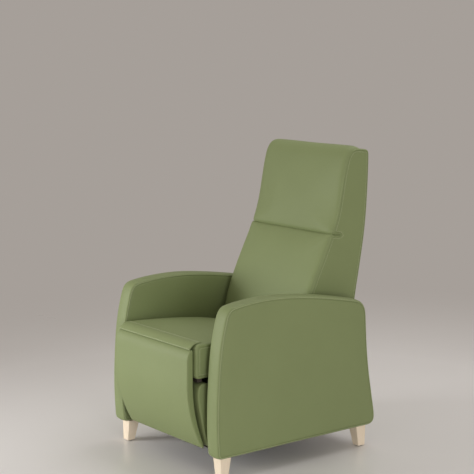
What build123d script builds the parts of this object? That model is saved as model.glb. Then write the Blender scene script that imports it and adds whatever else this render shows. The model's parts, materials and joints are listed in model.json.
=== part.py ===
"""Patient recliner chair with padded arms, a reclining back and a folding footrest.

Millimetres. The origin is on the floor under the middle of the chair, +Z is up and -Y is the front.
Left and right are those of the person who sits in it, so left is +X.
"""
import os
from math import cos, radians, sin

from build123d import *

# Driving dimensions of the whole chair
OVERALL_WIDTH = 670
ARM_THICKNESS = 67
LEG_HEIGHT = 84
SEAT_WIDTH = 486
FOOTREST_WIDTH = 460

# Places that follow from them
OUTER_X = OVERALL_WIDTH / 2
INNER_X = OUTER_X - ARM_THICKNESS
SEAT_X = SEAT_WIDTH / 2
FOOTREST_X = FOOTREST_WIDTH / 2

# Motion: the back turns about a fixed pivot and pushes the seat forward
BACK_PIVOT = (150, 400)
RECLINE_DEG = 32
HALF_SWING = radians(RECLINE_DEG / 2)
DRIVE_RADIUS = 100
SPRING_RADIUS = 80

# Motion: the footrest turns about a hinge at the top front edge of the seat
FOOTREST_AXIS = (-394.5, 474)
CRANK_RADIUS = 45
CRANK_ANGLE = radians(-70)
SHAFT_OFFSET = (110, -82)

# Stock sizes
PLATE = 4
BOARD = 18
FOAM_BORDER = 15
PLAY = 0.05
GAP = 0.4

parts = {}


def block(x0, x1, y0, y1, z0, z1):
    """A box between its low and high faces."""
    centre = Pos((x0 + x1) / 2, (y0 + y1) / 2, (z0 + z1) / 2)
    return centre * Box(x1 - x0, y1 - y0, z1 - z0)


def rod(radius, x0, x1, yz):
    """A round bar that lies across the chair."""
    return Pos((x0 + x1) / 2, *yz) * Rot(0, 90, 0) * Cylinder(radius, x1 - x0)


def slab(face, x0, x1):
    """A side-view face, drawn as (depth, height), given thickness across the chair."""
    return extrude(Plane.YZ.offset(x0) * face, amount=x1 - x0, dir=(1, 0, 0))


def plate(circles, x0, x1):
    """A flat steel link: the hull of some circles, each (depth, height, radius)."""
    rounds = [edge for y, z, radius in circles for edge in (Pos(y, z) * Circle(radius)).edges()]
    return slab(make_hull(rounds), x0, x1)


def both(make):
    """The left piece and its mirror image on the right."""
    left = make()
    return left, mirror(left, about=Plane.YZ)


def pair(name, make):
    """Two mirrored pieces, each in its own node."""
    parts[name + "_left"], parts[name + "_right"] = both(make)


def group(name, *solids):
    """Like pieces that share one node."""
    parts[name] = Compound(children=list(solids))


def swung(radius, pivot, turn=HALF_SWING):
    """A point hung below the back's pivot, half a swing behind the vertical."""
    return pivot[0] + radius * sin(turn), pivot[1] - radius * cos(turn)


# Arms: a wooden frame inside a padded, upholstered body that reaches down to the legs
ARM_FRAME_X0 = INNER_X + FOAM_BORDER
ARM_FRAME_X1 = OUTER_X - FOAM_BORDER
arm_front = Spline((-364, LEG_HEIGHT), (-370, 170), (-367, 341), (-351, 498), (-332, 580))
arm_front_corner = Spline((-332, 580), (-322, 605), (-301, 621), tangents=[arm_front % 1, (1, 0.18)])
arm_top = Spline((-301, 621), (-136, 636), (99, 615), (248, 588), tangents=[(1, 0.18), (1, -0.21)])
arm_rear_corner = Spline((248, 588), (319, 562), (335, 516), tangents=[(1, -0.21), (0.06, -1)])
arm_rear = Spline((335, 516), (348, 348), (383, 138), (386, 108), tangents=[(0.06, -1), (0, -1)])
arm_rear_foot = TangentArc((386, 108), (366, LEG_HEIGHT), tangent=(0, -1))
arm_bottom = Line((366, LEG_HEIGHT), (-364, LEG_HEIGHT))
arm_face = make_face(
    [arm_front, arm_front_corner, arm_top, arm_rear_corner, arm_rear, arm_rear_foot, arm_bottom]
)
LEG_TOP = 48
LEG_FOOT = 33
LEG_OUTER_X = 317
FRONT_LEG_Y = -342
REAR_LEG_Y = 354
GLIDE = 3
LEG_BOLT_RADIUS = 4
LEG_BOLT_LENGTH = 60
LEG_BOLT_Z = 82
leg_centre_x = LEG_OUTER_X - LEG_TOP / 2
leg_centres_y = (FRONT_LEG_Y + LEG_TOP / 2, REAR_LEG_Y - LEG_TOP / 2)
frame_front = ((-349, LEG_HEIGHT), (-353, 341), (-336, 500), (-316, 578), (-290, 603))
frame_top = ((-136, 619), (99, 598), (245, 571), (302, 546))
frame_rear = ((320, 500), (333, 348), (362, 170), (362, LEG_HEIGHT))
arm_inside = make_face(Polyline(*frame_front, *frame_top, *frame_rear, close=True))
arm_window = make_face(
    Polyline((-290, 134), (-290, 540), (-240, 566), (100, 556), (265, 520), (290, 134), close=True)
)
leg_bolt_list = []
for centre_y in leg_centres_y:
    leg_bolt_list.append(Pos(leg_centre_x, centre_y, LEG_BOLT_Z) * Cylinder(LEG_BOLT_RADIUS, LEG_BOLT_LENGTH))


def arm_block():
    """The space that the arm's frame fills, open at the foot."""
    return slab(arm_inside, ARM_FRAME_X0, ARM_FRAME_X1)


def make_arm_frame():
    frame = arm_block() - slab(arm_window, ARM_FRAME_X0, ARM_FRAME_X1)
    for bolt in leg_bolt_list:
        frame -= bolt
    return frame


def make_arm_pad():
    return slab(arm_face, INNER_X, OUTER_X) - arm_block()


pair("arm_frame", make_arm_frame)
pair("arm_pad", make_arm_pad)

# Legs: tapered beech, upright outside and sloped inside, on plastic glides
TAPER_OUTSIDE = 1.5
LEG_EDGE_RADIUS = 3


def make_leg(outer_y, towards_middle):
    """One leg. towards_middle is +1 at the front and -1 at the rear."""
    top_y = outer_y + towards_middle * LEG_TOP / 2
    foot_y = outer_y + towards_middle * (TAPER_OUTSIDE + LEG_FOOT / 2)
    foot_x = LEG_OUTER_X - TAPER_OUTSIDE - LEG_FOOT / 2
    top = Pos(leg_centre_x, top_y, LEG_HEIGHT) * RectangleRounded(LEG_TOP, LEG_TOP, LEG_EDGE_RADIUS)
    foot = Pos(foot_x, foot_y, GLIDE) * RectangleRounded(LEG_FOOT, LEG_FOOT, LEG_EDGE_RADIUS)
    leg = loft([foot, top])
    for bolt in leg_bolt_list:
        leg -= bolt
    return leg, Pos(foot_x, foot_y, GLIDE / 2) * Cylinder(LEG_FOOT / 2 - 4, GLIDE)


glides = []
for place, outer_y, towards_middle in (("front", FRONT_LEG_Y, 1), ("rear", REAR_LEG_Y, -1)):
    leg, glide = make_leg(outer_y, towards_middle)
    parts["leg_" + place + "_left"] = leg
    parts["leg_" + place + "_right"] = mirror(leg, about=Plane.YZ)
    glides += [glide, mirror(glide, about=Plane.YZ)]
group("leg_glides", *glides)
group("leg_bolts", *leg_bolt_list, *[mirror(bolt, about=Plane.YZ) for bolt in leg_bolt_list])

# Fixed rails between the arms, the padded apron behind the footrest and the closed rear
APRON_TOP = 343
FRONT_RAIL_Y = -334
REAR_RAIL_Y = 336
RAIL_BOTTOM = 100
REAR_RAIL_TOP = 170
REAR_TOP = 310
REAR_SLOPE = -24
parts["front_rail"] = block(-INNER_X, INNER_X, FRONT_RAIL_Y, FRONT_RAIL_Y + BOARD, RAIL_BOTTOM, 338)
apron_face = make_face(
    [
        Line((FRONT_RAIL_Y, RAIL_BOTTOM), (-336, RAIL_BOTTOM)),
        Spline((-336, RAIL_BOTTOM), (-353, 142), (-369, 211), (-384, 300), (-382, 330)),
        Line((-382, 330), (-373, APRON_TOP)),
        Line((-373, APRON_TOP), (FRONT_RAIL_Y, APRON_TOP)),
        Line((FRONT_RAIL_Y, APRON_TOP), (FRONT_RAIL_Y, RAIL_BOTTOM)),
    ]
)
parts["apron_pad"] = slab(apron_face, -SEAT_X, SEAT_X)
rear_rail_back = REAR_RAIL_Y + BOARD
parts["rear_rail"] = block(-INNER_X, INNER_X, REAR_RAIL_Y, rear_rail_back, RAIL_BOTTOM, REAR_RAIL_TOP)


def rear_sheet(y0, thickness):
    """A sheet across the rear that leans forward with the arms' rear edges."""
    front = [(y0, RAIL_BOTTOM), (y0 + REAR_SLOPE, REAR_TOP)]
    rear = [(y0 + REAR_SLOPE + thickness, REAR_TOP), (y0 + thickness, RAIL_BOTTOM)]
    return slab(make_face(Polyline(*front, *rear, close=True)), -INNER_X, INNER_X)


REAR_PANEL = 4
REAR_PANEL_Y = 362
REAR_PAD = 8
parts["rear_panel"] = rear_sheet(REAR_PANEL_Y, REAR_PANEL)
parts["rear_apron_pad"] = rear_sheet(REAR_PANEL_Y + REAR_PANEL, REAR_PAD)


ANGLE_STEEL = 3
ANGLE_LEG = 35
ANGLE_LOW = 104
ANGLE_HIGH = 166


def make_corner_bracket(y0, along):
    """A steel angle that holds a rail's end to the arm, with screw holes towards the arm."""
    low_y, high_y = sorted((y0, y0 + along * ANGLE_LEG))
    flat_low, flat_high = sorted((y0, y0 + along * ANGLE_STEEL))
    angle = block(INNER_X - ANGLE_STEEL, INNER_X, low_y, high_y, ANGLE_LOW, ANGLE_HIGH)
    angle += block(INNER_X - ANGLE_LEG, INNER_X, flat_low, flat_high, ANGLE_LOW, ANGLE_HIGH)
    for height in (120, 150):
        angle -= rod(3, INNER_X - 5, INNER_X + 2, (y0 + along * 22, height))
    return angle


bracket_list = []
for y0, along in ((FRONT_RAIL_Y + BOARD, 1), (REAR_RAIL_Y, -1)):
    bracket_list += both(lambda: make_corner_bracket(y0, along))
group("corner_brackets", *bracket_list)
parts["dust_cover"] = block(
    -INNER_X + 1, INNER_X - 1, FRONT_RAIL_Y + 2, REAR_RAIL_Y + 8, RAIL_BOTTOM - 1.2, RAIL_BOTTOM
)

# Slide rails on the inside of the arms, in which the seat moves forward
RAIL_LOW = 322
RAIL_HIGH = 350
RAIL_WALL = 3
RAIL_DEPTH = 14
RAIL_Y0 = -315
RAIL_Y1 = 60


def make_slide_rail():
    """A channel that is open towards the seat."""
    channel_low = RAIL_LOW + RAIL_WALL
    channel_high = RAIL_HIGH - RAIL_WALL
    outside = block(INNER_X - RAIL_DEPTH, INNER_X, RAIL_Y0, RAIL_Y1, RAIL_LOW, RAIL_HIGH)
    return outside - block(
        INNER_X - RAIL_DEPTH - 1, INNER_X - RAIL_WALL, RAIL_Y0 - 1, RAIL_Y1 + 1, channel_low, channel_high
    )


group("slide_rails", *both(make_slide_rail))

# The back's fixed pivots: a plate on each arm, a pin and a plastic spacer bush
PIVOT_RADIUS = 8
BRACKET_X0 = SEAT_X + 1
BRACKET_X1 = BRACKET_X0 + PLATE
pivot_plate_x = INNER_X - PLATE


def make_pivot_plate():
    corners = [(BACK_PIVOT[0] + dy, BACK_PIVOT[1] + dz, 12) for dy in (-35, 35) for dz in (-35, 35)]
    blank = plate(corners, pivot_plate_x, INNER_X)
    return blank - rod(PIVOT_RADIUS, pivot_plate_x - 1, INNER_X + 1, BACK_PIVOT)


def make_pivot_bush():
    bush = rod(PIVOT_RADIUS + 6, BRACKET_X1 + GAP, pivot_plate_x, BACK_PIVOT)
    return bush - rod(PIVOT_RADIUS, BRACKET_X1, pivot_plate_x + 1, BACK_PIVOT)


group("pivot_plates", *both(make_pivot_plate))
group("back_pivot_pins", *both(lambda: rod(PIVOT_RADIUS, BRACKET_X0, INNER_X, BACK_PIVOT)))
group("pivot_bushes", *both(make_pivot_bush))

# Lockable gas spring that holds the back: its cylinder is fixed to a cross tube
SPRING_EYE = swung(SPRING_RADIUS, BACK_PIVOT)
SPRING_Z = BACK_PIVOT[1] - SPRING_RADIUS * (1 + cos(HALF_SWING)) / 2
TUBE_YZ = (-160, 300)
CYLINDER_RADIUS = 14
CYLINDER_Y0 = -140
CYLINDER_Y1 = 20
BORE_RADIUS = 12
ROD_RADIUS = 5
EYE_PIN_RADIUS = 5
EYE_CLEARANCE = 2.2


def lengthways(radius, y0, y1, z):
    """A round bar that lies front to back on the middle plane."""
    return Pos(0, (y0 + y1) / 2, z) * Rot(90, 0, 0) * Cylinder(radius, y1 - y0)


tube = rod(12.5, -INNER_X, INNER_X, TUBE_YZ)
parts["cross_tube"] = tube - rod(10.5, -INNER_X, INNER_X, TUBE_YZ)
lug_front = TUBE_YZ[0] - 18
spring_lug = block(-14, 14, lug_front, CYLINDER_Y0, TUBE_YZ[1] - 16, SPRING_Z + 16)
parts["spring_bracket"] = spring_lug - rod(12.5, -20, 20, TUBE_YZ)
cylinder = lengthways(CYLINDER_RADIUS, CYLINDER_Y0, CYLINDER_Y1, SPRING_Z)
cylinder -= lengthways(BORE_RADIUS, CYLINDER_Y0 + 10, CYLINDER_Y1 - 10, SPRING_Z)
parts["gas_spring_cylinder"] = cylinder - lengthways(ROD_RADIUS + PLAY, 0, CYLINDER_Y1 + 1, SPRING_Z)
PISTON_Y1 = -40
eye_inner = EYE_PIN_RADIUS + EYE_CLEARANCE
eye_outer = eye_inner + 4
piston_rod = lengthways(ROD_RADIUS, PISTON_Y1, SPRING_EYE[0] - eye_inner - 2, SPRING_Z)
parts["gas_spring_rod"] = piston_rod + lengthways(BORE_RADIUS - PLAY, PISTON_Y1 - 15, PISTON_Y1, SPRING_Z)
eye_centre = (SPRING_EYE[0], SPRING_Z)
rod_eye = rod(eye_outer, -6, 6, eye_centre) - rod(eye_inner, -7, 7, eye_centre)
parts["gas_spring_eye"] = rod_eye - piston_rod

# Seat: a wooden frame with wire springs under a foam cushion, hung on plates with slide blocks
SEAT_FRONT_Y = -393
SEAT_REAR_Y = 80
SEAT_SKIRT_Z = 360
FRAME_LOW = SEAT_SKIRT_Z
FRAME_HIGH = 420
FRAME_X = SEAT_X - FOAM_BORDER
FRAME_Y0 = SEAT_FRONT_Y + FOAM_BORDER
FRAME_Y1 = SEAT_REAR_Y - 6
FRAME_RAIL = 20
FRONT_RAIL_LOW = 346
SHAFT_RADIUS = 8
SLOT_X0 = 186
SLOT_X1 = 204
SLOT_LOW = 376
SHAFT_YZ = (FOOTREST_AXIS[0] + SHAFT_OFFSET[0], FOOTREST_AXIS[1] + SHAFT_OFFSET[1])
seat_top = Spline((-381, 487), (-300, 484.5), (-200, 478), (-100, 469), (68, 440))
seat_face = make_face(
    [
        Line((SEAT_FRONT_Y, SEAT_SKIRT_Z), (SEAT_FRONT_Y, 475)),
        TangentArc((SEAT_FRONT_Y, 475), (-381, 487), tangent=(0, 1)),
        seat_top,
        TangentArc((68, 440), (SEAT_REAR_Y, 426), tangent=seat_top % 1),
        Line((SEAT_REAR_Y, 426), (SEAT_REAR_Y, SEAT_SKIRT_Z)),
        Line((SEAT_REAR_Y, SEAT_SKIRT_Z), (SEAT_FRONT_Y, SEAT_SKIRT_Z)),
    ]
)
SLOT_HIGH = 468
link_slots = both(lambda: block(SLOT_X0, SLOT_X1, SEAT_FRONT_Y - 7, FRAME_Y0 + 40, SLOT_LOW, SLOT_HIGH))
HINGE_GROOVE_RADIUS = 4.2
HINGE_X = 150
hinge_groove = rod(HINGE_GROOVE_RADIUS, -HINGE_X - 2, HINGE_X + 2, FOOTREST_AXIS)
seat_frame = block(-FRAME_X, FRAME_X, FRAME_Y0, FRAME_Y1, FRAME_LOW, FRAME_HIGH)
seat_frame += block(-FRAME_X, FRAME_X, FRAME_Y0, FRAME_Y0 + FRAME_RAIL, FRONT_RAIL_LOW, FRAME_HIGH)
frame_space = block(-FRAME_X, FRAME_X, FRAME_Y0, FRAME_Y1, FRAME_LOW - 1, FRAME_HIGH)
inner_x = FRAME_X - FRAME_RAIL
seat_frame -= block(
    -inner_x, inner_x, FRAME_Y0 + FRAME_RAIL, FRAME_Y1 - FRAME_RAIL, FRAME_LOW - 1, FRAME_HIGH + 1
)
for slot in link_slots:
    seat_frame -= slot
parts["seat_frame"] = seat_frame - rod(SHAFT_RADIUS + PLAY, -FRAME_X, FRAME_X, SHAFT_YZ)
seat_cushion = slab(seat_face, -SEAT_X, SEAT_X) - frame_space - hinge_groove
for slot in link_slots:
    seat_cushion -= slot
parts["seat_cushion"] = seat_cushion

# Seat springs: zigzag wires from the front rail to the rear rail, held in clips
WIRE_RADIUS = 1.8
SPRING_LEVEL = FRAME_HIGH - 9
SPRING_WAVES = 9
WAVE_WIDTH = 22
spring_y0 = FRAME_Y0 + FRAME_RAIL + 4
spring_y1 = FRAME_Y1 - FRAME_RAIL - 4


def make_wire(centre_x):
    """One zigzag wire spring, flat, with rounded turns."""
    pitch = (spring_y1 - spring_y0) / SPRING_WAVES
    path = [(centre_x, spring_y0, SPRING_LEVEL)]
    for wave in range(SPRING_WAVES):
        side = WAVE_WIDTH if wave % 2 else -WAVE_WIDTH
        path.append((centre_x + side, spring_y0 + (wave + 0.25) * pitch, SPRING_LEVEL))
        path.append((centre_x + side, spring_y0 + (wave + 0.75) * pitch, SPRING_LEVEL))
    path.append((centre_x, spring_y1, SPRING_LEVEL))
    line = FilletPolyline(*path, radius=8)
    return sweep(Plane(origin=line @ 0, z_dir=line % 0) * Circle(WIRE_RADIUS), path=line)


spring_places = (-140, -70, 0, 70, 140)
group("seat_springs", *[make_wire(x) for x in spring_places])
clips = []
for x in spring_places:
    for y0, y1 in ((spring_y0 - 16, spring_y0 - 4), (spring_y1 + 4, spring_y1 + 16)):
        clips.append(block(x - 9, x + 9, y0, y1, FRAME_HIGH, FRAME_HIGH + 2))
group("spring_clips", *clips)
for clip in clips:
    parts["seat_cushion"] -= clip

# Seat plates on both sides carry the slide blocks and the slotted brackets that the back drives
SEAT_PLATE_Y0 = -258
SEAT_PLATE_LOW = 326
SEAT_PLATE_HIGH = 396
BLOCK_LENGTH = 50
BLOCK_PLAY = 1
DRIVE_PIN_RADIUS = 6
DRIVE_PIN = swung(DRIVE_RADIUS, BACK_PIVOT)
DRIVE_DIP = DRIVE_RADIUS * (1 - cos(HALF_SWING))
bracket_layer = (BRACKET_X1 + 2, BRACKET_X1 + 2 + PLATE)


def make_seat_plate():
    return block(SEAT_X, SEAT_X + PLATE, SEAT_PLATE_Y0, SEAT_REAR_Y, SEAT_PLATE_LOW, SEAT_PLATE_HIGH)


def make_slide_block(y0):
    """A plastic block that slides in the rail."""
    low = RAIL_LOW + RAIL_WALL + BLOCK_PLAY
    high = RAIL_HIGH - RAIL_WALL - GAP
    return block(SEAT_X + PLATE, INNER_X - RAIL_WALL - GAP, y0, y0 + BLOCK_LENGTH, low, high)


def make_drive_bracket():
    """An arm behind the seat with an upright slot for the back's drive pin."""
    y_pin, z_pin = DRIVE_PIN
    slot_end = z_pin - DRIVE_DIP
    blank = plate([(50, 330, 14), (y_pin, z_pin + 3, 20), (y_pin, slot_end - 3, 20)], *bracket_layer)
    spacer = rod(10, SEAT_X + PLATE, bracket_layer[0], (50, 338))
    slot_radius = DRIVE_PIN_RADIUS + GAP
    slot_circles = [(y_pin, z_pin + 0.5, slot_radius), (y_pin, slot_end - 0.5, slot_radius)]
    return blank + spacer - plate(slot_circles, bracket_layer[0] - 1, bracket_layer[1] + 1)


pair("seat_plate", make_seat_plate)
slide_blocks = []
for y0 in (SEAT_PLATE_Y0, -30):
    slide_blocks += both(lambda: make_slide_block(y0))
group("slide_blocks", *slide_blocks)
group("drive_brackets", *both(make_drive_bracket))

# Footrest hinge: two leaves with alternate knuckles on one pin
LEAF = 1.3
KNUCKLE_RADIUS = 3.5
HINGE_PIN_RADIUS = 1.5
KNUCKLES = 5
knuckle_length = 2 * HINGE_X / KNUCKLES
leaf_top = FOOTREST_AXIS[1] - 4
LEAF_BOTTOM = 440


def make_leaf(y0, first):
    """A leaf on the wall at y0 with every second knuckle, starting with number first."""
    leaf = block(-HINGE_X, HINGE_X, y0, y0 + LEAF, LEAF_BOTTOM, leaf_top)
    for number in range(first, KNUCKLES, 2):
        x0 = -HINGE_X + number * knuckle_length + 0.25
        x1 = x0 + knuckle_length - 0.5
        leaf += rod(KNUCKLE_RADIUS, x0, x1, FOOTREST_AXIS)
        leaf += block(x0, x1, y0, y0 + LEAF, leaf_top - 1, FOOTREST_AXIS[1])
    return leaf - rod(HINGE_PIN_RADIUS + PLAY, -HINGE_X, HINGE_X, FOOTREST_AXIS)


parts["hinge_leaf_seat"] = make_leaf(SEAT_FRONT_Y - LEAF, 0)
parts["hinge_pin"] = rod(HINGE_PIN_RADIUS, -HINGE_X, HINGE_X, FOOTREST_AXIS)

# Footrest: a bent plywood board in a thin pad, upright above and swept back below
FOOTREST_REAR_Y = -396
BEND_START = 340
parts["hinge_leaf_footrest"] = make_leaf(FOOTREST_REAR_Y, 1)
bottom_rear = (-345, 105)
bottom_front = (-352, 94)
front_top = (-422, 430)
footrest_face = make_face(
    [
        Line((FOOTREST_REAR_Y, 473), (FOOTREST_REAR_Y, BEND_START)),
        TangentArc((FOOTREST_REAR_Y, BEND_START), bottom_rear, tangent=(0, -1)),
        Line(bottom_rear, bottom_front),
        TangentArc((-423, BEND_START), bottom_front, tangent=(0, -1)),
        Line((-423, BEND_START), front_top),
        TangentArc(front_top, (FOOTREST_REAR_Y, 473), tangent=(0, 1)),
    ]
)
BOARD_THIN = 9
board_arc = TangentArc((FOOTREST_REAR_Y, BEND_START), bottom_rear, tangent=(0, -1))
board_end = board_arc @ 0.9
board_face = make_face(
    [
        Line((FOOTREST_REAR_Y, 462), (FOOTREST_REAR_Y, BEND_START)),
        TangentArc((FOOTREST_REAR_Y, BEND_START), board_end, tangent=(0, -1)),
        Line(board_end, board_end - (BOARD_THIN, 0)),
        TangentArc((FOOTREST_REAR_Y - BOARD_THIN, BEND_START), board_end - (BOARD_THIN, 0), tangent=(0, -1)),
        Line((FOOTREST_REAR_Y - BOARD_THIN, BEND_START), (FOOTREST_REAR_Y - BOARD_THIN, 462)),
        Line((FOOTREST_REAR_Y - BOARD_THIN, 462), (FOOTREST_REAR_Y, 462)),
    ]
)
board_x = FOOTREST_X - 12
CRANK_X0 = 190
crank_layer = (CRANK_X0, CRANK_X0 + PLATE)
link_layer = (CRANK_X0 + PLATE + 1, CRANK_X0 + 2 * PLATE + 1)
crank_vector = (CRANK_RADIUS * cos(CRANK_ANGLE), CRANK_RADIUS * sin(CRANK_ANGLE))
FRONT_CRANK_PIN = (FOOTREST_AXIS[0] + crank_vector[0], FOOTREST_AXIS[1] + crank_vector[1])
REAR_CRANK_PIN = (SHAFT_YZ[0] + crank_vector[0], SHAFT_YZ[1] + crank_vector[1])
CRANK_PIN_RADIUS = 4
REAR_HOLE_PLAY = 0.3


def make_footrest_crank():
    """A plate through the board, with a flange in front of it and a pin hole behind the hinge."""
    arm = plate([(*FRONT_CRANK_PIN, 9), (-400, 448, 8), (-400, 428, 8)], *crank_layer)
    arm -= block(180, 210, -420, FOOTREST_REAR_Y - BOARD_THIN, 400, 480)
    board_front = FOOTREST_REAR_Y - BOARD_THIN
    flange = block(CRANK_X0 - 18, CRANK_X0 + 22, board_front - 3, board_front, 415, 461)
    return arm + flange - rod(CRANK_PIN_RADIUS, CRANK_X0 - 1, CRANK_X0 + 9, FRONT_CRANK_PIN)


cranks = both(make_footrest_crank)
parts["footrest_crank_left"], parts["footrest_crank_right"] = cranks
board = slab(board_face, -board_x, board_x)
footrest_pad = slab(footrest_face, -FOOTREST_X, FOOTREST_X) - board - hinge_groove
for crank in cranks:
    board -= crank
    footrest_pad -= crank
parts["footrest_board"] = board
parts["footrest_pad"] = footrest_pad

# Footrest linkage: equal cranks on the footrest and on a cross shaft, joined by level links
shaft = rod(SHAFT_RADIUS, -FRAME_X, FRAME_X, SHAFT_YZ)
parts["footrest_shaft"] = shaft


def make_shaft_crank():
    crank = plate([(*SHAFT_YZ, 15), (*REAR_CRANK_PIN, 9)], *crank_layer)
    crank -= rod(SHAFT_RADIUS, *crank_layer, SHAFT_YZ)
    return crank - rod(CRANK_PIN_RADIUS, *crank_layer, REAR_CRANK_PIN)


def make_link():
    """A level link: a close hole on the footrest's pin and an easy one on the shaft crank's pin."""
    link = plate([(*FRONT_CRANK_PIN, 7.5), (*REAR_CRANK_PIN, 7.5)], *link_layer)
    link -= rod(CRANK_PIN_RADIUS + PLAY, *link_layer, FRONT_CRANK_PIN)
    return link - rod(CRANK_PIN_RADIUS + REAR_HOLE_PLAY, *link_layer, REAR_CRANK_PIN)


def make_crank_pin(yz):
    return rod(CRANK_PIN_RADIUS, crank_layer[0], link_layer[1], yz)


group("shaft_cranks", *both(make_shaft_crank))
group("footrest_links", *both(make_link))
group("front_crank_pins", *both(lambda: make_crank_pin(FRONT_CRANK_PIN)))
group("rear_crank_pins", *both(lambda: make_crank_pin(REAR_CRANK_PIN)))

# Back: plywood sides and rails, webbing, a padded front in two cushions and a covered shell
HEAD_SEAM = 832
PAD_DEPTH = 65
SHELL = 5
BACK_PANEL = 12
back_front = Spline((88, 392), (97, 470), (131, 590), (220, 777), (266, 890), (297, 1040), (311, 1092))
back_brow = Spline((311, 1092), (330, 1125), (360, 1136), tangents=[back_front % 1, (1, 0)])
back_top = Line((360, 1136), (407, 1133))
back_heel = Spline((407, 1133), (423, 1117), tangents=[(1, -0.06), (0, -1)])
back_rear = Spline(
    (423, 1117), (419, 975), (403, 800), (361, 567), (340, 335), tangents=[(0, -1), (-0.06, -1)]
)
back_foot = Line((340, 335), (88, 392))
back_face = make_face([back_front, back_brow, back_top, back_heel, back_rear, back_foot])
behind_pads = Pos(PAD_DEPTH, 0) * back_face + Pos(260, 370) * Rectangle(210, 100)
frame_part = back_face & behind_pads
front_part = back_face - behind_pads
shell_inside = (Pos(-SHELL, -SHELL) * back_face) & (Pos(0, SHELL) * back_face)
seam_cut = Pos(0, 200, HEAD_SEAM) * Rot(-12, 0, 0)
below_seam = seam_cut * Pos(0, 0, -500) * Box(600, 1200, 1000)
front_block = slab(front_part, -SEAT_X, SEAT_X)
parts["back_pad"] = front_block & below_seam
parts["headrest_pad"] = front_block - below_seam
frame_x = SEAT_X - SHELL
back_shell = slab(frame_part, -SEAT_X, SEAT_X)
parts["back_cover"] = back_shell - slab(shell_inside, -frame_x, frame_x)
side_face = frame_part & shell_inside


def make_back_side():
    return slab(side_face, frame_x - BACK_PANEL, frame_x)


pair("back_side_panel", make_back_side)
rail_x = frame_x - BACK_PANEL
parts["back_top_rail"] = block(-rail_x, rail_x, 386, 408, 1050, 1100)
parts["back_middle_rail"] = block(-rail_x, rail_x, 345, 370, 790, 850)
parts["back_bottom_rail"] = block(-rail_x, rail_x, 160, 190, 388, 433)
STRAP_X = (-180, -90, 0, 90, 180)
STRAP_WIDTH = 60
STRAP = 1.5
strap_back = Pos(PAD_DEPTH + 0.5 + STRAP, 0) * back_face
strap_face = Pos(PAD_DEPTH + 0.5, 0) * back_face - strap_back
strap_face &= Pos(250, 760) * Rectangle(400, 650)
group("back_webbing", *[slab(strap_face, x - STRAP_WIDTH / 2, x + STRAP_WIDTH / 2) for x in STRAP_X])

# Steel brackets on the back carry its pivots, the drive pins and the gas spring's clevis
CLEVIS_INSIDE = 8


def make_back_bracket():
    blank = plate([(*BACK_PIVOT, 24), (*DRIVE_PIN, 15)], BRACKET_X0, BRACKET_X1)
    blank += plate([(*BACK_PIVOT, 24), (190, 500, 18), (290, 470, 18)], BRACKET_X0, BRACKET_X1)
    blank -= rod(PIVOT_RADIUS + PLAY, BRACKET_X0 - 1, BRACKET_X1 + 1, BACK_PIVOT)
    return blank - rod(DRIVE_PIN_RADIUS, BRACKET_X0 - 1, BRACKET_X1 + 1, DRIVE_PIN)


pair("back_bracket", make_back_bracket)
group("drive_pins", *both(lambda: rod(DRIVE_PIN_RADIUS, BRACKET_X0, bracket_layer[1] + 2, DRIVE_PIN)))
parts["spring_pin"] = rod(EYE_PIN_RADIUS, -14, 14, SPRING_EYE)


def make_clevis_cheek():
    cheek = plate([(*SPRING_EYE, 11), (175, 396, 8), (183, 396, 6)], CLEVIS_INSIDE, CLEVIS_INSIDE + PLATE)
    cheek -= block(0, 20, 160, 190, 388, 433)
    return cheek - rod(EYE_PIN_RADIUS, CLEVIS_INSIDE - 1, CLEVIS_INSIDE + PLATE + 1, SPRING_EYE)


cheeks = both(make_clevis_cheek)
group("spring_clevis", *cheeks)
for cheek in cheeks:
    parts["back_cover"] -= cheek

os.makedirs("parts", exist_ok=True)
for name, shape in parts.items():
    export_step(shape, f"parts/{name}.step")
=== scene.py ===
"""Patient recliner chair: upholstery, stitching and finishes around its measured frame."""
import json
import math

import bmesh
import bpy
import numpy as np
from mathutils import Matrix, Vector, geometry, noise
from mathutils.bvhtree import BVHTree


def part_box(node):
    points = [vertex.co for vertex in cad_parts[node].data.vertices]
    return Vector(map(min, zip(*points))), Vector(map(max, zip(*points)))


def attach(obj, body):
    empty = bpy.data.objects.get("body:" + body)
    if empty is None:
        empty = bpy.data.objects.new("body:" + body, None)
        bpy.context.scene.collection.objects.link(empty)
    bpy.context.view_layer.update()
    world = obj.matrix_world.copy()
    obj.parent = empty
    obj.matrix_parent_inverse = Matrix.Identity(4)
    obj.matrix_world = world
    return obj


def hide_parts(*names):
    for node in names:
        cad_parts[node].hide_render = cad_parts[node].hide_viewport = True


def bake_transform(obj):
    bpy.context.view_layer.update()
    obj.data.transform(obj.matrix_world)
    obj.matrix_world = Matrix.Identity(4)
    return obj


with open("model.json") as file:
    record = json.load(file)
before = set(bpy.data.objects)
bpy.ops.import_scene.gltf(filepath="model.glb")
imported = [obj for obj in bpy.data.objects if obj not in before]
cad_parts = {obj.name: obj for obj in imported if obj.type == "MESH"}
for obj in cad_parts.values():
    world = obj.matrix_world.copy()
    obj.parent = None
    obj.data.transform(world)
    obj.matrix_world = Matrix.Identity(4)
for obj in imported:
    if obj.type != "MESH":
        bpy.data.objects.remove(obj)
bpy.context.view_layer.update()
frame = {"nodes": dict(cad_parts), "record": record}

scene = bpy.context.scene
scene.view_settings.view_transform = "Standard"


# The studio: a camera at standing eye height, a pale floor that fades into a plain backdrop tone, and
# three soft boxes. The key stands low in front, on the side of the chair's right arm.
CAMERA_PLACE = (3.919, -3.060, 1.550)
CAMERA_TURN = 52.238
CAMERA_DIP = 8.539
LENS = 101.05

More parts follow.
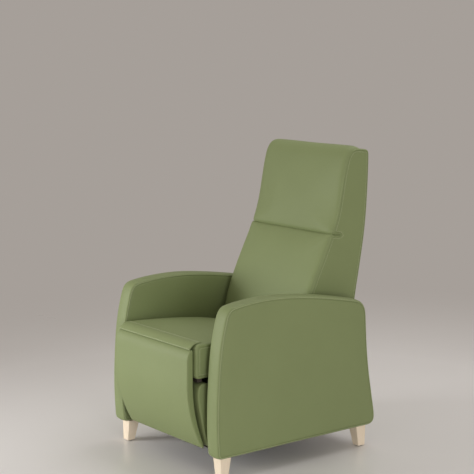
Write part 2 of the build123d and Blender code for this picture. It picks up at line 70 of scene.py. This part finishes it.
camera = bpy.data.objects.new("camera", bpy.data.cameras.new("camera"))
camera.data.lens = LENS
camera.data.sensor_width = 36
camera.data.clip_end = 200
camera.location = CAMERA_PLACE
camera.rotation_euler = (math.radians(90 - CAMERA_DIP), 0, math.radians(CAMERA_TURN))
scene.collection.objects.link(camera)
scene.camera = camera


class Flow:
    """A shader socket that takes part in sums: each sum adds a Math node."""

    def __init__(self, recipe, socket):
        self.recipe = recipe
        self.socket = socket

    def sum(self, operation, first, second):
        return self.recipe.add("ShaderNodeMath", {"operation": operation}, {0: first, 1: second})

    def __add__(self, other):
        return self.sum("ADD", self, other)

    def __radd__(self, other):
        return self.sum("ADD", other, self)

    def __sub__(self, other):
        return self.sum("SUBTRACT", self, other)

    def __rsub__(self, other):
        return self.sum("SUBTRACT", other, self)

    def __mul__(self, other):
        return self.sum("MULTIPLY", self, other)

    def __rmul__(self, other):
        return self.sum("MULTIPLY", other, self)


class Recipe:
    """A material in the making, on a Principled shader."""

    def __init__(self, name):
        self.material = bpy.data.materials.new(name)
        self.material.use_nodes = True
        self.tree = self.material.node_tree
        self.shader = self.tree.nodes["Principled BSDF"]
        self.place = self.add("ShaderNodeTexCoord", {}, {}, "Object")

    def fill(self, node, sockets):
        for key, value in sockets.items():
            if isinstance(value, Flow):
                self.tree.links.new(value.socket, node.inputs[key])
            else:
                node.inputs[key].default_value = value

    def add(self, kind, settings, sockets, out=0):
        """Adds one node: its settings, then its sockets' values or links, and gives one output."""
        node = self.tree.nodes.new(kind)
        for key, value in settings.items():
            setattr(node, key, value)
        self.fill(node, sockets)
        return Flow(self, node.outputs[out])

    def finish(self, **sockets):
        """Feeds the shader: spaces in socket names are written as underscores."""
        self.fill(self.shader, {key.replace("_", " "): value for key, value in sockets.items()})
        return self.material

    def noise(self, scale, detail=2.0, roughness=0.5, place=None):
        sockets = {"Vector": place or self.place, "Scale": scale, "Detail": detail, "Roughness": roughness}
        return self.add("ShaderNodeTexNoise", {}, sockets)

    def cells(self, scale, feature="F1", place=None):
        sockets = {"Vector": place or self.place, "Scale": scale}
        return self.add("ShaderNodeTexVoronoi", {"feature": feature}, sockets)

    def blend(self, share, first, second):
        settings = {"data_type": "RGBA"}
        return self.add("ShaderNodeMix", settings, {0: share, 6: (*first, 1), 7: (*second, 1)}, 2)

    def scaled(self, factors):
        settings = {"operation": "MULTIPLY"}
        return self.add("ShaderNodeVectorMath", settings, {0: self.place, 1: factors})

    def bump(self, height, strength, distance):
        return self.add("ShaderNodeBump", {}, {"Height": height, "Strength": strength, "Distance": distance})


BACKDROP = (0.381, 0.347, 0.319)
FADE_FROM = 1.6
FADE_TO = 3.4

world = bpy.data.worlds.new("studio")
world.use_nodes = True
world.node_tree.nodes["Background"].inputs["Color"].default_value = (*BACKDROP, 1)
scene.world = world


def soft_box(name, place, target, size, power, spread=180):
    light = bpy.data.objects.new(name, bpy.data.lights.new(name, "AREA"))
    light.data.size = size
    light.data.energy = power
    light.data.spread = math.radians(spread)
    light.location = place
    light.rotation_euler = (Vector(target) - Vector(place)).to_track_quat("-Z", "Y").to_euler()
    scene.collection.objects.link(light)


soft_box("key", (-1.6, -2.9, 0.95), (0, -0.4, 0.22), 1.3, 13, 75)
soft_box("fill", (4.4, -1.6, 0.95), (0, 0, 0.4), 1.8, 62)
soft_box("top", (0.2, 1.4, 3.4), (0, 0, 0.4), 2.4, 40)

floor_mesh = bpy.data.meshes.new("floor")
FLOOR_HALF = 30.0
corners = [(-1, -1), (1, -1), (1, 1), (-1, 1)]
floor_mesh.from_pydata([(x * FLOOR_HALF, y * FLOOR_HALF, 0) for x, y in corners], [], [(0, 1, 2, 3)])
floor = bpy.data.objects.new("floor", floor_mesh)
scene.collection.objects.link(floor)
recipe = Recipe("floor")
patches = recipe.noise(1.1, 3)
reach = recipe.add("ShaderNodeVectorMath", {"operation": "LENGTH"}, {0: recipe.place}, 1)
fade = recipe.add("ShaderNodeMapRange", {}, {0: reach, 1: FADE_FROM, 2: FADE_TO})
FLOOR_DARK = (0.77, 0.755, 0.74)
FLOOR_LIGHT = (0.83, 0.815, 0.80)
recipe.finish(
    Base_Color=recipe.blend(patches, FLOOR_DARK, FLOOR_LIGHT),
    Roughness=0.24 + 0.1 * patches,
)
glow = recipe.add("ShaderNodeEmission", {}, {"Color": (*BACKDROP, 1), "Strength": 1.0})
surface = Flow(recipe, recipe.shader.outputs[0])
mixed = recipe.add("ShaderNodeMixShader", {}, {0: fade, 1: surface, 2: glow})
recipe.fill(recipe.tree.nodes["Material Output"], {"Surface": mixed})
floor_mesh.materials.append(recipe.material)


# The legs: four tapered blocks of pale beech under the arms, with clear matt lacquer, on black plastic
# glides. A bolt holds each one in the arm's frame. The other hard parts get their finishes here too.
def wood(name, light, dark, rings, gloss):
    """Straight-grained timber that runs upward."""
    recipe = Recipe(name)
    drawn = recipe.scaled((1.0, 1.0, 0.07))
    grain = recipe.noise(rings, 5, 0.62, drawn)
    pores = recipe.noise(rings * 9, 2, 0.5, recipe.scaled((1.0, 1.0, 0.03)))
    flecks = recipe.noise(rings * 2.4, 2, 0.4, recipe.scaled((1.0, 1.0, 0.25)))
    tone = 0.62 * grain + 0.22 * pores + 0.16 * flecks
    return recipe.finish(
        Base_Color=recipe.blend(tone, dark, light),
        Roughness=gloss + 0.18 * pores,
        Normal=recipe.bump(grain * 0.6 + pores * 0.4, 0.22, 0.0004),
    )


def plain(name, tone, speck, roughness, metallic=0.0):
    """Plastic, powder coat or plated steel with a fine speckle."""
    recipe = Recipe(name)
    grit = recipe.noise(900, 2)
    cloud = recipe.noise(14, 3)
    share = 0.6 * grit + 0.4 * cloud
    return recipe.finish(
        Base_Color=recipe.blend(share, tone, speck),
        Roughness=roughness + 0.15 * cloud,
        Metallic=metallic,
        Normal=recipe.bump(grit, 0.12, 0.0002),
    )


def woven(name, tone, thread):
    """A coarse black non-woven or webbing cloth."""
    recipe = Recipe(name)
    sockets = {"Vector": recipe.place, "Scale": 160}
    warp = recipe.add("ShaderNodeTexWave", {"bands_direction": "X"}, sockets)
    weft = recipe.add("ShaderNodeTexWave", {"bands_direction": "Y"}, sockets)
    weave = warp * 0.5 + weft * 0.5
    return recipe.finish(
        Base_Color=recipe.blend(weave, tone, thread), Roughness=0.9, Normal=recipe.bump(weave, 0.5, 0.0005)
    )


finishes = {
    "beech": wood("beech", (0.96, 0.85, 0.69), (0.82, 0.67, 0.49), 70, 0.38),
    "frame_wood": wood("frame_wood", (0.60, 0.43, 0.26), (0.38, 0.24, 0.13), 45, 0.62),
    "plywood": wood("plywood", (0.64, 0.49, 0.32), (0.46, 0.32, 0.19), 30, 0.6),
    "black_plastic": plain("black_plastic", (0.02, 0.02, 0.02), (0.05, 0.05, 0.05), 0.5),
    "black_steel": plain("black_steel", (0.02, 0.02, 0.022), (0.045, 0.045, 0.05), 0.4),
    "zinc_steel": plain("zinc_steel", (0.42, 0.43, 0.45), (0.60, 0.61, 0.62), 0.28, 1.0),
    "black_fabric": woven("black_fabric", (0.012, 0.012, 0.012), (0.05, 0.05, 0.05)),
}
for subpart in frame["record"]["subparts"]:
    if subpart["material_slot"] in finishes:
        node = frame["nodes"][subpart["node"]]
        for material_slot in node.material_slots:
            material_slot.material = finishes[subpart["material_slot"]]
# The two wooden rails that show in the gap behind the footrest are painted near black as painted shade for
# the dark gap.
painted_gap_shade = wood("painted_gap_shade_wood", (0.07, 0.055, 0.04), (0.03, 0.022, 0.016), 45, 0.7)
for name in ("front_rail", "seat_frame"):
    for material_slot in frame["nodes"][name].material_slots:
        material_slot.material = painted_gap_shade


# The arms: foam over a wooden frame in green leatherette, sewn from a flat panel on each side and one
# band that runs round the edge. Each seam is topstitched on the band.
LEATHER_LIGHT = (0.250, 0.302, 0.134)
LEATHER_DARK = (0.200, 0.242, 0.102)
THREAD = (0.60, 0.66, 0.42)
MESH_STEP = 0.009
NET_STEP = 0.013
SEAM_DEPTH = 0.0026
SEAM_HALF = 0.0016


def leatherette(name):
    """Wipe-clean coated cloth: a pebbled grain, soft creases and slight changes of tone."""
    recipe = Recipe(name)
    pebbles = recipe.cells(520, "DISTANCE_TO_EDGE")
    fine = recipe.noise(1500, 2)
    creases = recipe.noise(60, 4, 0.62)
    cloud = recipe.noise(4.5, 3)
    grain = recipe.add("ShaderNodeMath", {"operation": "MINIMUM"}, {0: pebbles * 3.2, 1: 1.0})
    tone = 0.55 * cloud + 0.2 * creases + 0.25 * grain
    skin = recipe.bump(0.7 * grain + 0.3 * fine, 0.32, 0.00035)
    folds = recipe.add(
        "ShaderNodeBump", {}, {"Height": creases, "Strength": 0.10, "Distance": 0.002, "Normal": skin}
    )
    return recipe.finish(
        Base_Color=recipe.blend(tone, LEATHER_DARK, LEATHER_LIGHT),
        Roughness=0.56 - 0.10 * grain + 0.12 * creases,
        Specular_IOR_Level=0.38,
        Normal=folds,
    )


def sewing_thread():
    recipe = Recipe("thread")
    twist = recipe.noise(2600, 2)
    dark = tuple(channel * 0.75 for channel in THREAD)
    return recipe.finish(
        Base_Color=recipe.blend(twist, dark, THREAD), Roughness=0.7, Normal=recipe.bump(twist, 0.3, 0.0002)
    )


green = leatherette("green_leatherette")
thread = sewing_thread()


def side_outline(node):
    """The outline of a node's outermost left side, as (depth, height) points in order."""
    mesh = frame["nodes"][node].data
    side_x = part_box(node)[1][0]
    keys = [tuple(round(c, 5) for c in vertex.co) for vertex in mesh.vertices]
    uses = {}
    for polygon in mesh.polygons:
        ring = [keys[i] for i in polygon.vertices]
        if all(abs(key[0] - side_x) < 2e-5 for key in ring):
            for first, second in zip(ring, ring[1:] + ring[:1]):
                edge = frozenset((first, second))
                uses[edge] = uses.get(edge, 0) + 1
    beside = {}
    for edge in (edge for edge, count in uses.items() if count == 1 and len(edge) == 2):
        first, second = tuple(edge)
        beside.setdefault(first, []).append(second)
        beside.setdefault(second, []).append(first)
    loops = []
    while beside:
        here = min(beside)
        loop = [here]
        while beside.get(here):
            following = beside[here].pop()
            beside[following].remove(here)
            here = following
            loop.append(here)
        for key in [key for key, others in beside.items() if not others]:
            del beside[key]
        loops.append(np.array(loop)[:-1, 1:])
    return max(loops, key=len_of_loop)


def len_of_loop(loop):
    return np.linalg.norm(np.roll(loop, -1, 0) - loop, axis=1).sum()


def evenly(points, step, closed=True):
    """The same line with points an even step apart."""
    line = np.vstack([points, points[:1]]) if closed else np.asarray(points)
    lengths = np.concatenate([[0], np.cumsum(np.linalg.norm(np.diff(line, axis=0), axis=1))])
    count = max(4, int(round(lengths[-1] / step)))
    marks = np.linspace(0, lengths[-1], count + 1)
    spread = np.stack([np.interp(marks, lengths, line[:, k]) for k in range(line.shape[1])], axis=1)
    return spread[:-1] if closed else spread


def softened(loop, passes):
    """A closed line with its sharp corners eased."""
    for _ in range(passes):
        loop = 0.5 * loop + 0.25 * (np.roll(loop, 1, 0) + np.roll(loop, -1, 0))
    return loop


def outward(loop):
    """The outward direction at each point of a closed side outline."""
    along = np.roll(loop, -1, 0) - np.roll(loop, 1, 0)
    along /= np.linalg.norm(along, axis=1)[:, None]
    normal = np.stack([along[:, 1], -along[:, 0]], axis=1)
    area = np.cross(loop, np.roll(loop, -1, 0)).sum()
    return normal if area > 0 else -normal


def make_piece(name, points, faces, body, material):
    """A smooth mesh piece that rides on a body, if one is given."""
    mesh = bpy.data.meshes.new(name)
    mesh.from_pydata([tuple(point) for point in points], [], faces)
    build = bmesh.new()
    build.from_mesh(mesh)
    bmesh.ops.recalc_face_normals(build, faces=build.faces)
    build.to_mesh(mesh)
    build.free()
    mesh.polygons.foreach_set("use_smooth", [True] * len(mesh.polygons))
    mesh.materials.append(material)
    piece = bpy.data.objects.new(name, mesh)
    scene.collection.objects.link(piece)
    if body:
        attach(piece, body)
    return piece


def across(profile, loop, normal):
    """Rings of a body: each profile entry is (x, inset from the outline)."""
    return [np.column_stack([np.full(len(loop), x), loop - normal * inset]) for x, inset in profile]


def seam_profile(side_x, sign, corner, seam, bulge):
    """From inside the side panel, over its seam if it has one, and round the edge to the band."""
    entries = [(side_x, corner + 0.0006)]
    if seam:
        lip = seam + SEAM_HALF
        entries = [(side_x + sign * bulge * 0.25, lip + 0.005), (side_x + sign * 0.0004, lip + 0.0012)]
        entries += [(side_x, lip), (side_x - sign * SEAM_DEPTH, seam), (side_x, seam - SEAM_HALF)]
    for turn in np.linspace(0, 90, 6):
        angle = math.radians(turn)
        x = side_x - sign * corner * (1 - math.cos(angle))
        entries.append((x, corner * (1 - math.sin(angle))))
    return entries


def rim_distance(points, rim):
    """How far each point lies from a closed line."""
    start = rim[None]
    step = (np.roll(rim, -1, 0) - rim)[None]
    away = points[:, None] - start
    share = np.clip((away * step).sum(2) / np.maximum((step**2).sum(2), 1e-12), 0, 1)
    return np.linalg.norm(away - share[..., None] * step, axis=2).min(axis=1)


def side_net(rim):
    """An even net of triangles inside a closed line: the rim's points first, then the inner ones."""
    low = rim.min(axis=0)
    high = rim.max(axis=0)
    rows = enumerate(np.arange(low[1], high[1], NET_STEP * 0.87))
    starts = [(low[0] + NET_STEP / 2 * (row % 2), z) for row, z in rows]
    grid = np.array([(y, z) for start, z in starts for y in np.arange(start, high[0], NET_STEP)])
    following = np.roll(rim, -1, 0)
    spans = (rim[None, :, 1] > grid[:, 1:]) != (following[None, :, 1] > grid[:, 1:])
    rise = following[:, 1] - rim[:, 1]
    rise = np.where(np.abs(rise) < 1e-9, 1e-9, rise)
    crossing = rim[:, 0] + (grid[:, 1:] - rim[:, 1]) / rise * (following[:, 0] - rim[:, 0])
    grid = grid[(spans & (grid[:, :1] < crossing)).sum(axis=1) % 2 == 1]
    grid = grid[rim_distance(grid, rim) > NET_STEP * 0.6]
    ring = [(k, (k + 1) % len(rim)) for k in range(len(rim))]
    for _ in range(40):
        flat = np.vstack([rim, grid])
        found = geometry.delaunay_2d_cdt([Vector(point) for point in flat], ring, [], 1, 1e-7)
        if all(found[3]):
            break
        rim = softened(rim, 1)
    source = [min(origins) for origins in found[3]]
    return flat, [tuple(source[k] for k in corner) for corner in found[2]]


def sewn_body(name, outline, sides, body, corner, seam, bulge, band_crown, easing=3):
    """A padded body between two sides, which are at x: two side panels and a band round the outline."""
    x0, x1 = sides
    loop = softened(evenly(outline, MESH_STEP), easing)
    normal = softened(outward(loop), 6 if seam else 1)
    normal /= np.linalg.norm(normal, axis=1)[:, None]
    left = seam_profile(x1, 1, corner, seam, bulge)
    right = seam_profile(x0, -1, corner, seam, bulge)[::-1]
    middle = (x0 + x1) / 2
    reach = (x1 - x0) / 2 - corner
    count = max(3, int(2 * reach / MESH_STEP))
    band = [(middle - reach * u, -band_crown * (1 - u**2)) for u in np.linspace(-1, 1, count)[1:-1]]
    rings = across(left + band + right, loop, normal)
    points = np.vstack(rings)
    size = len(loop)
    faces = []
    for ring in range(len(rings) - 1):
        for k in range(size):
            after = (k + 1) % size
            low = ring * size
            faces.append((low + k, low + after, low + size + after, low + size + k))
    for start, side_x, sign in ((0, x1, 1), (len(points) - size, x0, -1)):
        rim = points[start : start + size, 1:]
        flat, triangles = side_net(rim)
        points[start : start + size, 1:] = flat[:size]
        swell = 0.25 + 0.75 * (1 - np.exp(-rim_distance(flat, rim) / 0.035))
        inner = np.column_stack([side_x + sign * bulge * swell, flat])[size:]
        offset = len(points) - size
        faces += [tuple(start + k if k < size else offset + k for k in corner) for corner in triangles]
        points = np.vstack([points, inner])
    return make_piece(name, points, faces, body, green)


def uneven(piece, depth, scale, seed):
    """The small hollows and swells of hand-filled upholstery."""
    mesh = piece.data
    shift = Vector((seed, seed * 2.3, seed * 0.7))
    normals = np.array([normal.vector[:] for normal in mesh.vertex_normals])
    points = np.array([vertex.co[:] for vertex in mesh.vertices])
    swell = [noise.noise(Vector(point) * scale + shift) for point in points]
    points += normals * depth * np.array(swell)[:, None]
    mesh.vertices.foreach_set("co", points.ravel())
    mesh.update()


def puff(piece, free, pressure, cap):
    """Blows the free part of a sewn cover up against its own cloth, and keeps the result."""
    mesh = piece.data
    start = np.empty(len(mesh.vertices) * 3)
    mesh.vertices.foreach_get("co", start)
    start = start.reshape(-1, 3)
    held = piece.vertex_groups.new(name="held")
    held.add([int(i) for i in np.nonzero(~free(start))[0]], 1.0, "REPLACE")
    cloth = piece.modifiers.new("Cloth", "CLOTH")
    settings = cloth.settings
    settings.quality = 6
    settings.mass = 0.25
    settings.tension_stiffness = 22
    settings.compression_stiffness = 22
    settings.shear_stiffness = 8
    settings.bending_stiffness = 3
    settings.use_pressure = True
    settings.uniform_pressure_force = pressure
    settings.vertex_group_mass = "held"
    settings.pin_stiffness = 50
    settings.effector_weights.gravity = 0
    cloth.collision_settings.use_collision = False
    for number in range(1, 21):
        scene.frame_set(number)
    shown = piece.evaluated_get(bpy.context.evaluated_depsgraph_get())
    blown = np.empty(len(mesh.vertices) * 3)
    shown.data.vertices.foreach_get("co", blown)
    move = blown.reshape(-1, 3) - start
    length = np.linalg.norm(move, axis=1)[:, None]
    move *= np.minimum(1, cap / np.maximum(length, 1e-9))
    piece.modifiers.remove(cloth)
    piece.vertex_groups.remove(held)
    mesh.vertices.foreach_set("co", (start + move).ravel())
    mesh.update()
    scene.frame_set(1)


def subdivide(piece):
    refine = piece.modifiers.new("refine", "SUBSURF")
    refine.levels = 1
    refine.render_levels = 1


COVER_GAP = 0.001


def cover_sides(node):
    """The low and high x of a cover, just inside the node that it stands for."""
    low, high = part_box(node)
    return low[0] + COVER_GAP, high[0] - COVER_GAP


STITCH_PITCH = 0.0052
STITCH_LENGTH = 0.0036
STITCH_RADIUS = 0.00060
STITCH_SIDES = 5
STITCH_RINGS = ((-0.5, 0.4, -0.2), (-0.3, 1, 0.5), (0.3, 1, 0.5), (0.5, 0.4, -0.2))


def stitch_row(name, host, line, body, closed=False):
    """A row of single stitches that lies on the host along a line."""
    tree = BVHTree.FromObject(host, bpy.context.evaluated_depsgraph_get())
    marks = evenly(np.asarray(line), STITCH_PITCH, closed)
    points = []
    faces = []
    for here, after in zip(marks[:-1], marks[1:]):
        place, normal, _, _ = tree.find_nearest(Vector(here))
        ahead = Vector(after) - Vector(here)
        if place is None or ahead.length < 1e-6:
            continue
        ahead = (ahead - normal * ahead.dot(normal)).normalized()
        side = normal.cross(ahead)
        base = len(points)
        for reach, girth, lift in STITCH_RINGS:
            hub = place + ahead * STITCH_LENGTH * reach + normal * STITCH_RADIUS * lift
            for turn in range(STITCH_SIDES):
                angle = turn * math.tau / STITCH_SIDES
                spoke = side * math.cos(angle) + normal * math.sin(angle)
                points.append(hub + spoke * STITCH_RADIUS * girth)
        for ring in range(len(STITCH_RINGS) - 1):
            low = base + ring * STITCH_SIDES
            high = low + STITCH_SIDES
            for turn in range(STITCH_SIDES):
                following = (turn + 1) % STITCH_SIDES
                faces.append((low + turn, low + following, high + following, high + turn))
        last = base + (len(STITCH_RINGS) - 1) * STITCH_SIDES
        faces += [tuple(range(start, start + STITCH_SIDES)) for start in (base, last)]
    return make_piece(name, points, faces, body, thread)


ARM_CORNER = 0.009
ARM_SEAM = 0.010
ARM_BULGE = 0.0035
ARM_CROWN = 0.0022
STITCH_INSET = 0.0045

arm_outline = side_outline("arm_pad_left")
arm_low, arm_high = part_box("arm_pad_left")
for side, name in ((1, "left"), (-1, "right")):
    x0, x1 = sorted((side * arm_low[0], side * arm_high[0]))
    sides = (x0 + COVER_GAP, x1 - COVER_GAP)
    arm = sewn_body(
        "arm_cover_" + name, arm_outline, sides, "base", ARM_CORNER, ARM_SEAM, ARM_BULGE, ARM_CROWN
    )
    uneven(arm, 0.0010, 7.0, 3.0 + side)
    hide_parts("arm_pad_" + name)
    subdivide(arm)
    loop = softened(evenly(arm_outline, MESH_STEP), 3)
    for edge_x, edge in ((x1, "high"), (x0, "low")):
        run = loop - outward(loop) * (ARM_SEAM - STITCH_INSET)
        line = np.column_stack([np.full(len(run), edge_x), run])
        stitch_row(f"arm_stitching_{name}_{edge}", arm, line, "base", True)


# The apron: a thin pad over a board between the arms, behind the footrest, bowed like it.
apron_outline = side_outline("apron_pad")
apron = sewn_body(
    "apron_cover", apron_outline, cover_sides("apron_pad"), "base", 0.006, None, 0.001, 0.002
)
uneven(apron, 0.0008, 8.0, 5.0)
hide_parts("apron_pad")
subdivide(apron)


# The rear apron: a covered panel that closes the base below the back, stapled round a hardboard sheet.
rear_outline = side_outline("rear_apron_pad")
rear = sewn_body(
    "rear_apron_cover", rear_outline, cover_sides("rear_apron_pad"), "base", 0.0025, None, 0.0, 0.0, 1
)
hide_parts("rear_apron_pad")


# The seat: a foam block over zigzag springs, in a cover with a crowned top and upright side borders,
# whose seams are topstitched.
SEAT_CORNER = 0.009
SEAT_SEAM = 0.0115
SEAT_MARGIN = 0.014
SEAT_FRONT_HELD = 0.026
seat_low, seat_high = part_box("seat_cushion")
seat_outline = side_outline("seat_cushion")
seat = sewn_body(
    "seat_cover", seat_outline, cover_sides("seat_cushion"), "seat", SEAT_CORNER, SEAT_SEAM, 0.002, 0.0
)


def seat_top(points):
    """The top panel inside its seams: the part that swells."""
    depth = points[:, 1]
    over = points[:, 2] > np.interp(depth, [seat_low[1], seat_high[1]], [0.470, 0.415])
    inside = np.abs(points[:, 0]) < seat_high[0] - SEAT_MARGIN
    return over & inside & (depth > seat_low[1] + SEAT_FRONT_HELD) & (depth < seat_high[1] - 0.01)


def crowned(piece, half_x, y0, y1, rise, free):
    """A soft crown over the free part of a pad."""
    mesh = piece.data
    points = np.array([vertex.co for vertex in mesh.vertices])
    across_share = np.clip(1 - (points[:, 0] / half_x) ** 2, 0, 1)
    along = np.clip((points[:, 1] - y0) / (y1 - y0), 0, 1)
    points[:, 2] += free(points) * rise * across_share**0.6 * (np.sin(along * math.pi)) ** 0.5
    mesh.vertices.foreach_set("co", points.ravel())
    mesh.update()


crowned(seat, seat_high[0] - SEAT_MARGIN, seat_low[1] + SEAT_FRONT_HELD, seat_high[1], 0.007, seat_top)
puff(seat, seat_top, 3.0, 0.022)
uneven(seat, 0.0012, 6.0, 9.0)
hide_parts("seat_cushion")
subdivide(seat)
seat_loop = softened(evenly(seat_outline, MESH_STEP), 3)
seat_row = seat_loop - outward(seat_loop) * (SEAT_SEAM + STITCH_INSET)
for side, name in ((seat_high[0], "left"), (seat_low[0], "right")):
    line = np.column_stack([np.full(len(seat_row), side), seat_row])
    stitch_row("seat_stitching_" + name, seat, line, "seat", True)


# The footrest: a bent plywood board in a thin pad, upright above and swept back below.
foot_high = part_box("footrest_pad")[1]
foot_outline = side_outline("footrest_pad")
footrest = sewn_body(
    "footrest_cover", foot_outline, cover_sides("footrest_pad"), "footrest", 0.005, None, 0.0, 0.0008, 2
)
uneven(footrest, 0.0012, 6.0, 12.0)
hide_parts("footrest_pad")
subdivide(footrest)


# The hinge cover: one strip of leatherette, sewn to the seat's front edge and to the footrest's top edge,
# that hides the piano hinge.
STRIP_LINE = (
    (-0.3600, 0.4893), (-0.3720, 0.4892), (-0.3840, 0.4885), (-0.3925, 0.4858), (-0.4000, 0.4805),
    (-0.4060, 0.4738), (-0.4100, 0.4672),
)
STRIP_X = foot_high[0] - 0.004
STRIP_THICKNESS = 0.0018


def softened_run(line):
    """An open line with its corners eased and its ends kept."""
    for _ in range(2):
        line[1:-1] = 0.5 * line[1:-1] + 0.25 * (line[:-2] + line[2:])
    return line


def hinge_strip():
    path = evenly(softened_run(np.array(STRIP_LINE)), 0.004, False)
    along = np.gradient(path, axis=0)
    along /= np.linalg.norm(along, axis=1)[:, None]
    inward = np.stack([-along[:, 1], along[:, 0]], axis=1)
    columns = np.linspace(-STRIP_X, STRIP_X, 61)
    points = []
    for x in columns:
        ring = np.vstack([path, (path + inward * STRIP_THICKNESS)[::-1]])
        points.append(np.column_stack([np.full(len(ring), x), ring]))
    size = 2 * len(path)
    faces = []
    for column in range(len(columns) - 1):
        low = column * size
        for k in range(size):
            after = (k + 1) % size
            faces.append((low + k, low + after, low + size + after, low + size + k))
    for low in (0, (len(columns) - 1) * size):
        for k in range(len(path) - 1):
            faces.append((low + k, low + k + 1, low + size - 2 - k, low + size - 1 - k))
    return make_piece("hinge_cover_strip", np.vstack(points), faces, None, green)


strip = hinge_strip()
for body, y, z in (("seat", -0.3650, 0.4910), ("footrest", -0.4095, 0.4700)):
    line = [(x, y, z) for x in np.linspace(-STRIP_X + 0.003, STRIP_X - 0.003, 90)]
    stitch_row("hinge_cover_stitching_" + body, strip, line, body)
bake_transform(strip)


# The back: a covered shell with flat sides and a flat rear, and a padded front in two pillows with a
# cross seam between the headrest and the lumbar pad. The side panels are topstitched all round.
shell_outline = side_outline("back_cover")
pad_outline = side_outline("back_pad")
head_outline = side_outline("headrest_pad")
back_high = np.maximum(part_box("back_cover")[1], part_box("headrest_pad")[1])
BACK_X = back_high[0] - 0.001


def front_edge(loop, step=0.004):
    """The front of an outline: for each height, the point that stands furthest forward."""
    dense = evenly(loop, 0.001)
    heights = np.arange(dense[:, 1].min() + 0.001, dense[:, 1].max(), step)
    return np.array([(dense[np.abs(dense[:, 1] - z) < 0.0012, 0].min(), z) for z in heights])


lumbar_front = front_edge(pad_outline)
head_front = front_edge(head_outline)
whole_front = np.vstack([lumbar_front[:-1], head_front])
top_line = evenly(head_outline, 0.002)
top_line = top_line[(top_line[:, 1] > whole_front[-1, 1] - 0.001) & (top_line[:, 0] > whole_front[-1, 0])]
top_line = top_line[np.argsort(top_line[:, 0])]
rear_dense = evenly(shell_outline, 0.002)
rear_line = np.array([
    (rear_dense[np.abs(rear_dense[:, 1] - z) < 0.0025, 0].max(), z)
    for z in np.arange(back_high[2] - 0.006, shell_outline[:, 1].min() + 0.002, -0.006)
])
back_outline = np.vstack([whole_front, top_line, rear_line])
SHELL_SEAM = 0.0075
shell = sewn_body(
    "back_cover_shell", back_outline, (-BACK_X, BACK_X), "back", 0.006, SHELL_SEAM, 0.001, 0.0, 2
)
uneven(shell, 0.0008, 6.0, 15.0)
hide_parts("back_cover")
subdivide(shell)
shell_loop = softened(evenly(back_outline, MESH_STEP), 2)
shell_row = shell_loop - outward(shell_loop) * (SHELL_SEAM + STITCH_INSET)
for side, name in ((BACK_X, "left"), (-BACK_X, "right")):
    line = np.column_stack([np.full(len(shell_row), side), shell_row])
    stitch_row("back_side_stitching_" + name, shell, line, "back", True)


def open_normal(path):
    """The forward direction at each point of the back's front line, which runs upward."""
    along = np.gradient(path, axis=0)
    along /= np.linalg.norm(along, axis=1)[:, None]
    return np.stack([-along[:, 1], along[:, 0]], axis=1)


def front_pillow(name, path, half_x, rise, edge, ends, tuck=0.012):
    """A pillow sewn along all its edges.

    It rises over edge from the side seams, and over ends at its low and high ends.
    """
    path = evenly(path, MESH_STEP, False)
    normal = open_normal(path)
    lengths = np.arange(len(path)) * MESH_STEP
    total = lengths[-1]
    columns = np.linspace(-half_x, half_x, int(2 * half_x / MESH_STEP) + 1)
    side = np.clip((half_x - np.abs(columns)) / edge, 0, 1)
    side = np.sqrt(1 - (1 - side) ** 2)
    low = np.clip(lengths / ends[0], 0, 1)
    high = np.clip((total - lengths) / ends[1], 0, 1)
    end = np.sqrt(1 - (1 - low) ** 2) * np.sqrt(1 - (1 - high) ** 2)
    sheets = []
    for front in (True, False):
        lift = (rise * end[:, None] * side[None, :]) if front else np.full((len(path), len(columns)), -tuck)
        y = path[:, :1] + normal[:, :1] * lift
        z = path[:, 1:] + normal[:, 1:] * lift
        x = np.broadcast_to(columns, lift.shape)
        sheets.append(np.stack([x, y, z], axis=2).reshape(-1, 3))
    points = np.vstack(sheets)
    rows = len(path)
    wide = len(columns)
    faces = []
    for sheet in range(2):
        for row in range(rows - 1):
            for column in range(wide - 1):
                a = sheet * rows * wide + row * wide + column
                faces.append((a, a + 1, a + wide + 1, a + wide))
    rim = list(range(wide)) + [r * wide + wide - 1 for r in range(1, rows)]
    rim += [(rows - 1) * wide + c for c in range(wide - 2, -1, -1)]
    rim += [r * wide for r in range(rows - 2, 0, -1)]
    back = rows * wide
    for first, second in zip(rim, rim[1:] + rim[:1]):
        faces.append((first, second, back + second, back + first))
    piece = make_piece(name, points, faces, "back", green)
    border = np.zeros(len(points), bool)
    border[rim] = True
    border[back:] = True
    return piece, border


PILLOW_X = BACK_X - 0.002
lumbar, lumbar_border = front_pillow("lumbar_cover", lumbar_front, PILLOW_X, 0.012, 0.034, (0.05, 0.022))
puff(lumbar, lambda points: ~lumbar_border, 2.4, 0.020)
uneven(lumbar, 0.0012, 6.0, 18.0)
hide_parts("back_pad")
subdivide(lumbar)
head_path = np.vstack([head_front, top_line[top_line[:, 0] > head_front[-1, 0] + 0.002]])
headrest, head_border = front_pillow("headrest_cover", head_path, PILLOW_X, 0.010, 0.030, (0.030, 0.03))
puff(headrest, lambda points: ~head_border, 2.0, 0.016)
uneven(headrest, 0.0012, 6.0, 21.0)
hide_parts("headrest_pad")
subdivide(headrest)

y, z = head_front[0]
for name, host, lift in (("headrest", headrest, 0.007), ("lumbar", lumbar, -0.010)):
    line = [(x, y - 0.006, z + lift) for x in np.linspace(-BACK_X + 0.016, BACK_X - 0.016, 90)]
    stitch_row("cross_seam_stitching_" + name, host, line, "back")
